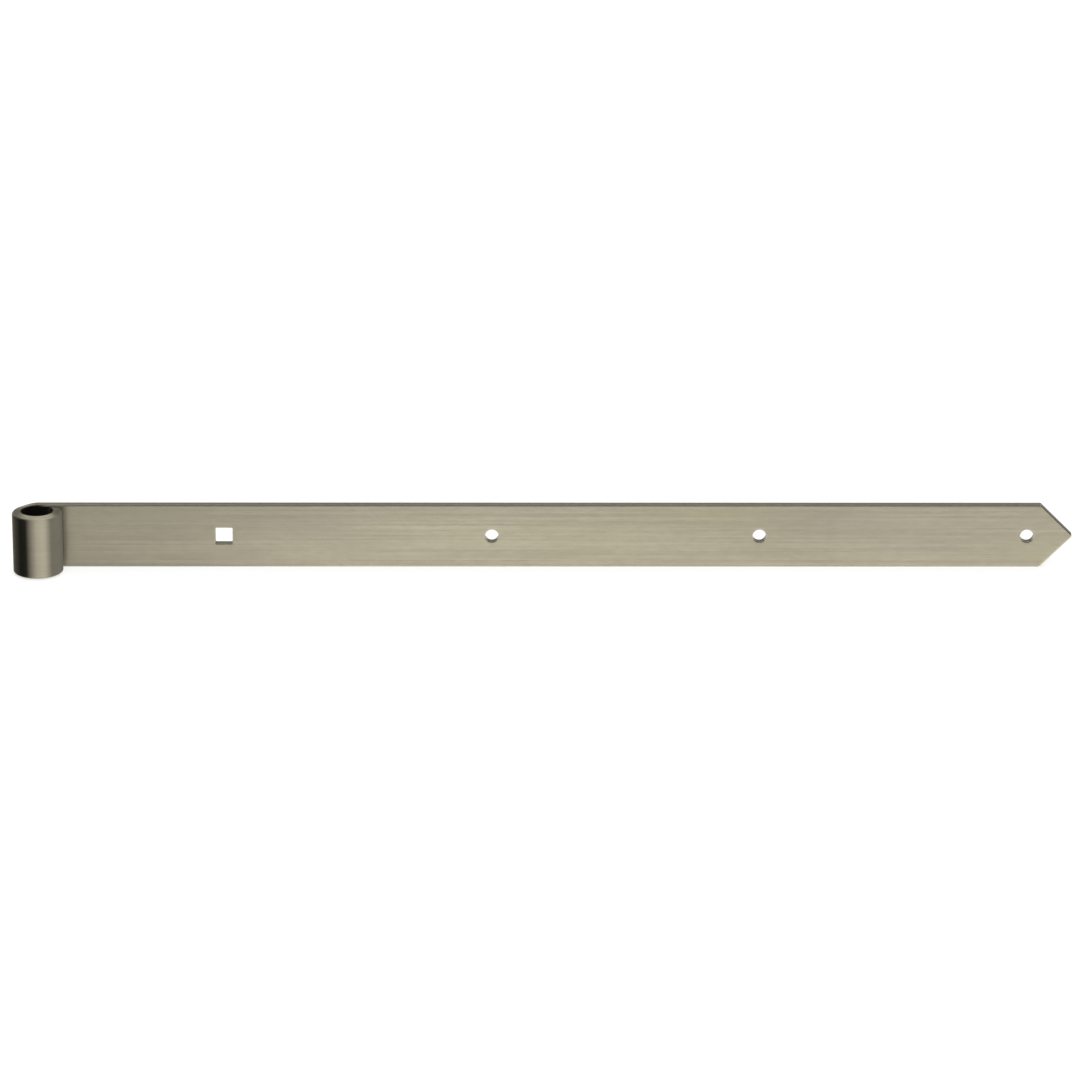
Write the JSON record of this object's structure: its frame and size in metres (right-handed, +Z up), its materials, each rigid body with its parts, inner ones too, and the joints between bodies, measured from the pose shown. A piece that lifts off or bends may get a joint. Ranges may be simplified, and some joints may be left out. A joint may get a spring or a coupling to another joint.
{
  "type": "shutter strap hinge",
  "caption": "Flat steel strap with a rolled eye for a pintle, a square bolt hole beside the eye, round screw holes in line and a pointed end, to hang a window shutter.",
  "frame": {"origin": "on the pin axis of the eye, at half the bar's width", "axes": "+Z up the pin axis, +X along the strap from the eye to the point, +Y out of the back face that lies on the shutter"},
  "size_m": [0.5632, 0.0264, 0.035],
  "materials": {
    "steel": "brushed along the bar"
  },
  "bodies": {
    "root": {"strap": "steel"}
  },
  "joints": []
}
